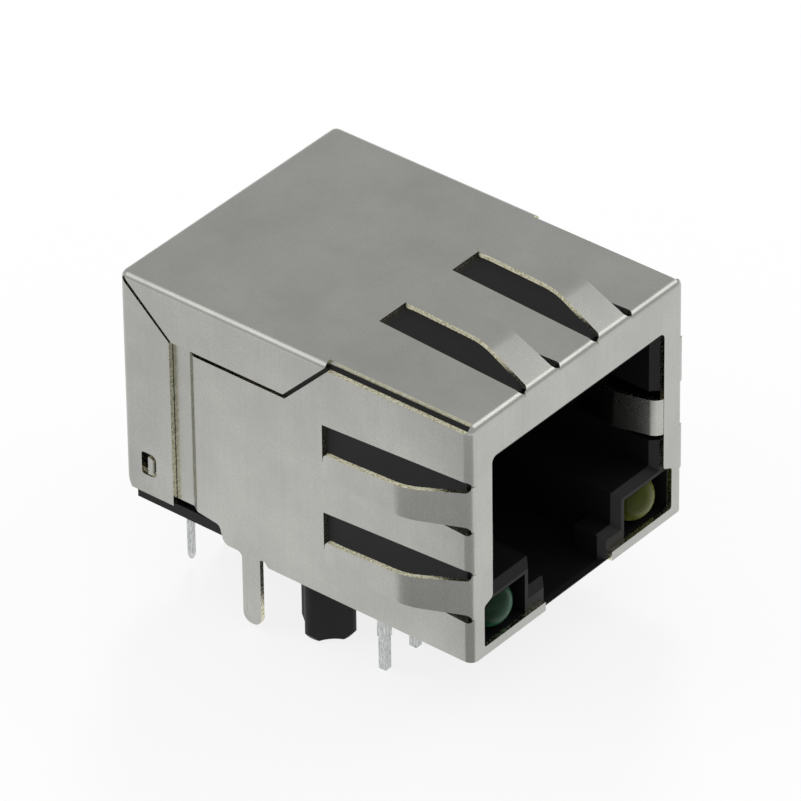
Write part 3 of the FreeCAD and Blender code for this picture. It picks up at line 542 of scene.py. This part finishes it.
def studio_lamp(scene, name, way, size, power, mirrored):
    """A square lamp at LAMP_DISTANCE along a direction, facing the origin, shown in mirrors or not."""
    lamp = bpy.data.lights.new(name, "AREA")
    lamp.shape = "SQUARE"
    lamp.size = size
    lamp.energy = power
    holder = bpy.data.objects.new(name, lamp)
    holder.location = Vector(way).normalized() * LAMP_DISTANCE
    holder.rotation_euler = Vector(way).to_track_quat("Z", "Y").to_euler()
    holder.visible_glossy = mirrored
    scene.collection.objects.link(holder)


def photo_camera(scene):
    """The photograph's camera, fitted to the edges of the shield's box.

    Its backward vector is (sin a cos e, -cos a cos e, sin e) for azimuth a and elevation e. Its right
    vector lies level before the roll turns it about the backward one.
    """
    camera = bpy.data.cameras.new("photo_camera")
    camera.lens = CAMERA_LENS
    camera.sensor_width = CAMERA_SENSOR
    camera.clip_start = 0.01
    camera.clip_end = 20.0
    holder = bpy.data.objects.new("photo_camera", camera)
    azimuth, elevation, roll = (math.radians(angle) for angle in CAMERA_TURN)
    level = math.cos(elevation)
    back = Vector((math.sin(azimuth) * level, -math.cos(azimuth) * level, math.sin(elevation)))
    right = Vector((0, 0, 1)).cross(back).normalized()
    upward = back.cross(right)
    turned = right * math.cos(roll) + upward * math.sin(roll)
    raised = upward * math.cos(roll) - right * math.sin(roll)
    x, y, z = CAMERA_PLACE
    place = Vector((x, y - PEG_Y, z)) * MM
    axes = Matrix((turned, raised, back)).transposed().to_4x4()
    holder.matrix_world = Matrix.Translation(place) @ axes
    scene.collection.objects.link(holder)
    scene.camera = holder


# Settings


class SheetSettings(bpy.types.PropertyGroup):
    edge_round: bpy.props.FloatProperty(name="Edge Round", description="Rounding of the sheared edges",
                                        default=0.03 * MM, unit="LENGTH", precision=6)
    mark_spacing: bpy.props.FloatProperty(name="Mark Spacing", description="Distance of the rolling marks",
                                           default=0.22 * MM, unit="LENGTH", precision=6)
    roughness: bpy.props.FloatProperty(name="Roughness", description="Roughness of the plating",
                                       default=0.28, min=0.0, max=1.0, subtype="FACTOR")
    dark: bpy.props.StringProperty(name="Dark Tone", description="Darker tone of the plating",
                                   default="#ABABA7")
    light: bpy.props.StringProperty(name="Light Tone", description="Lighter tone of the plating",
                                    default="#C0C0BB")
    edge_dark: bpy.props.StringProperty(name="Dark Edge Tone", description="Darker tone of the brass",
                                        default="#A6A17C")
    edge_light: bpy.props.StringProperty(name="Light Edge Tone", description="Lighter tone of the brass",
                                         default="#FFFDE8")


class MouldSettings(bpy.types.PropertyGroup):
    edge_round: bpy.props.FloatProperty(name="Edge Round", description="Rounding of the moulded edges",
                                        default=0.05 * MM, unit="LENGTH", precision=6)
    dark: bpy.props.StringProperty(name="Dark Tone", description="Darker tone of the plastic",
                                   default="#0F0F11")
    light: bpy.props.StringProperty(name="Light Tone", description="Lighter tone of the plastic",
                                    default="#151517")


class LampSettings(bpy.types.PropertyGroup):
    green_deep: bpy.props.StringProperty(name="Deep Green", description="Green lamp seen straight on",
                                         default="#0D2A18")
    # The rim tones are a painted highlight at the lamps' rims, not the resin's own colour
    green_rim_highlight: bpy.props.StringProperty(name="Pale Green", description="Green lamp at its rim",
                                         default="#2D6049")
    yellow_deep: bpy.props.StringProperty(name="Deep Yellow", description="Yellow lamp seen straight on",
                                          default="#3A400C")
    yellow_rim_highlight: bpy.props.StringProperty(name="Pale Yellow", description="Yellow lamp at its rim",
                                          default="#70743A")


class LeadSettings(bpy.types.PropertyGroup):
    tin_dark: bpy.props.StringProperty(name="Dark Tin", description="Darker tone of the tinned wire",
                                       default="#A2A7A5")
    tin_light: bpy.props.StringProperty(name="Light Tin", description="Lighter tone of the tinned wire",
                                        default="#E2E4E2")
    gold_dark: bpy.props.StringProperty(name="Dark Gold", description="Darker tone of the gold plating",
                                        default="#D9B25C")
    gold_light: bpy.props.StringProperty(name="Light Gold", description="Lighter tone of the gold plating",
                                         default="#F0D080")


class StudioSettings(bpy.types.PropertyGroup):
    key_power: bpy.props.FloatProperty(name="Key Power", description="Power of the right rear lamp",
                                       default=1.2, unit="POWER")
    right_power: bpy.props.FloatProperty(name="Right Power", description="Power of the front right softbox",
                                         default=0.42, unit="POWER")
    left_power: bpy.props.FloatProperty(name="Left Power", description="Power of the left rear softbox",
                                        default=0.5, unit="POWER")
    room: bpy.props.FloatProperty(name="Room Light", description="Strength of the room's even light",
                                  default=0.59, min=0.0)
    lift: bpy.props.FloatProperty(name="Floor Lift", description="Share of white in the floor as seen",
                                  default=0.8, min=0.0, max=1.0, subtype="FACTOR")
    # The two card tones are painted shade in the left wall's reflection
    flag: bpy.props.FloatProperty(name="Flag Tone", description="Paleness of the card at front left",
                                  default=0.62, min=0.0, max=1.0, subtype="FACTOR")
    far_flag: bpy.props.FloatProperty(name="Far Flag Tone", description="Paleness of the card at rear left",
                                      default=1.0, min=0.0, max=1.0, subtype="FACTOR")


# Operators


class BOARDJACK_OT_shield(bpy.types.Operator):
    """Dress the folded shield"""

    bl_idname = "board_jack.shield"
    bl_label = "Shield"

    def execute(self, context):
        settings = context.scene.board_jack_sheet
        piece = merged_copy("shield", "folded_shield", SMOOTH_TURN)
        piece.data.materials.append(rolled_nickel_sheet(settings))
        piece.data.materials.append(sheared_brass_edge(settings))
        mark_cut_faces(piece.data, SHEET_T * MM)
        round_edges(piece, settings.edge_round, EDGE_TURN)
        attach(piece, "root")
        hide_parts("shield")
        return {"FINISHED"}


class BOARDJACK_OT_mouldings(bpy.types.Operator):
    """Dress the black housing, the module case and the contact carrier"""

    bl_idname = "board_jack.mouldings"
    bl_label = "Mouldings"

    def execute(self, context):
        settings = context.scene.board_jack_mould
        plastic = moulded_black_polyester(settings)
        for node, name in (("housing", "moulded_housing"), ("module_case", "moulded_module_case")):
            piece = merged_copy(node, name, SMOOTH_TURN)
            if node == "housing":
                thin_channel_floor(piece.data)
            piece.data.materials.append(plastic)
            round_edges(piece, settings.edge_round, EDGE_TURN)
            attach(piece, "root")
            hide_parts(node)
        finish_nodes(plastic, "contact_carrier")
        return {"FINISHED"}


class BOARDJACK_OT_lamps(bpy.types.Operator):
    """Dress the two lamps"""

    bl_idname = "board_jack.lamps"
    bl_label = "Lamps"

    def execute(self, context):
        settings = context.scene.board_jack_lamp
        # The deep tone is the resin's tint, and the second tone is a painted rim highlight
        for node, name, slot, deep, pale in (
                ("led_green", "green_lamp", "green_lamp", settings.green_deep, settings.green_rim_highlight),
                ("led_yellow", "yellow_lamp", "yellow_lamp", settings.yellow_deep, settings.yellow_rim_highlight)):
            piece = merged_copy(node, name + "_body", LAMP_SMOOTH_TURN)
            piece.data.materials.append(tinted_lamp_resin("tinted_resin_" + name, deep, pale))
            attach(piece, "root")
            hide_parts(node)
        return {"FINISHED"}


class BOARDJACK_OT_leads(bpy.types.Operator):
    """Finish the pins, the lamp leads and the plug contacts"""

    bl_idname = "board_jack.leads"
    bl_label = "Pins and Contacts"

    def execute(self, context):
        settings = context.scene.board_jack_lead
        tin = drawn_metal("tinned_drawn_wire", settings.tin_dark, settings.tin_light,
                          rough=(0.3, 0.45), run=0.3)
        gold = drawn_metal("gold_plated_spring_wire", settings.gold_dark, settings.gold_light,
                           rough=(0.2, 0.3), run=1.6)
        finish_nodes(tin, "led_lead")
        for index in range(1, PINS + 1):
            piece = round_pin("signal_pin_%d" % index, "tinned_pin_%d" % index)
            piece.data.materials.append(tin)
        finish_nodes(gold, *("contact_%d" % index for index in range(1, CONTACTS + 1)))
        return {"FINISHED"}


class BOARDJACK_OT_module(bpy.types.Operator):
    """Finish the magnetics and the small board inside"""

    bl_idname = "board_jack.module"
    bl_label = "Module Insides"

    def execute(self, context):
        for prefix, name, dark, light, cell, roughness in (
                ("circuit_board", "green_glass_laminate", "#0B3A1C", "#12512A", 0.6, 0.4),
                ("wound_core", "enamelled_copper_wire", "#7A2E12", "#A8481E", 0.15, 0.3),
                ("resistor", "glazed_resistor_body", "#0E0E10", "#1A1A1C", 0.2, 0.35),
                ("capacitor", "fired_ceramic", "#7D6A4C", "#93805F", 0.2, 0.5)):
            finish_nodes(plain_solid(name, dark, light, cell, roughness), prefix)
        return {"FINISHED"}


class BOARDJACK_OT_studio(bpy.types.Operator):
    """Set up the floor, the light and the camera"""

    bl_idname = "board_jack.studio"
    bl_label = "Studio"

    def execute(self, context):
        scene = context.scene
        settings = scene.board_jack_studio
        scene.view_settings.view_transform = "Standard"
        corners = [(x * FLOOR_REACH, y * FLOOR_REACH) for x, y in ((-1, -1), (1, -1), (1, 1), (-1, 1))]
        floor = flat_card("studio_floor", corners, CAD_LOW.z, pale_floor_card(settings.lift))
        # Cards of painted shade that only the left wall's reflection shows
        mirrored_cards(settings)
        studio_room(scene, settings.room)
        for name, way, size, power, mirrored in (
                ("key_right_rear", (0.62, 0.42, 0.66), 0.15, settings.key_power, False),
                ("softbox_front_right", (0.632, -0.43, 0.646), 0.3, settings.right_power, True),
                ("softbox_left_rear", (-0.57, 0.52, 0.63), 0.4, settings.left_power, True)):
            studio_lamp(scene, name, way, size, power, mirrored)
        photo_camera(scene)
        return {"FINISHED"}


class BOARDJACK_PT_panel(bpy.types.Panel):
    bl_label = "Board Jack"
    bl_idname = "BOARDJACK_PT_panel"
    bl_space_type = "VIEW_3D"
    bl_region_type = "UI"
    bl_category = "Board Jack"

    def draw(self, context):
        for name in STEPS:
            self.layout.operator("board_jack." + name)
        for name, kind in SETTINGS.items():
            for key in kind.__annotations__:
                self.layout.prop(getattr(context.scene, name), key)


STEPS = ("shield", "mouldings", "lamps", "leads", "module", "studio")
SETTINGS = {
    "board_jack_sheet": SheetSettings,
    "board_jack_mould": MouldSettings,
    "board_jack_lamp": LampSettings,
    "board_jack_lead": LeadSettings,
    "board_jack_studio": StudioSettings,
}
CLASSES = (*SETTINGS.values(), BOARDJACK_OT_shield, BOARDJACK_OT_mouldings, BOARDJACK_OT_lamps,
           BOARDJACK_OT_leads, BOARDJACK_OT_module, BOARDJACK_OT_studio, BOARDJACK_PT_panel)


def register():
    for item in CLASSES:
        bpy.utils.register_class(item)
    for name, kind in SETTINGS.items():
        setattr(bpy.types.Scene, name, bpy.props.PointerProperty(type=kind))


def unregister():
    for name in SETTINGS:
        delattr(bpy.types.Scene, name)
    for item in reversed(CLASSES):
        bpy.utils.unregister_class(item)


def main():
    register()
    for name in STEPS:
        getattr(bpy.ops.board_jack, name)()


if __name__ == "__main__":
    main()
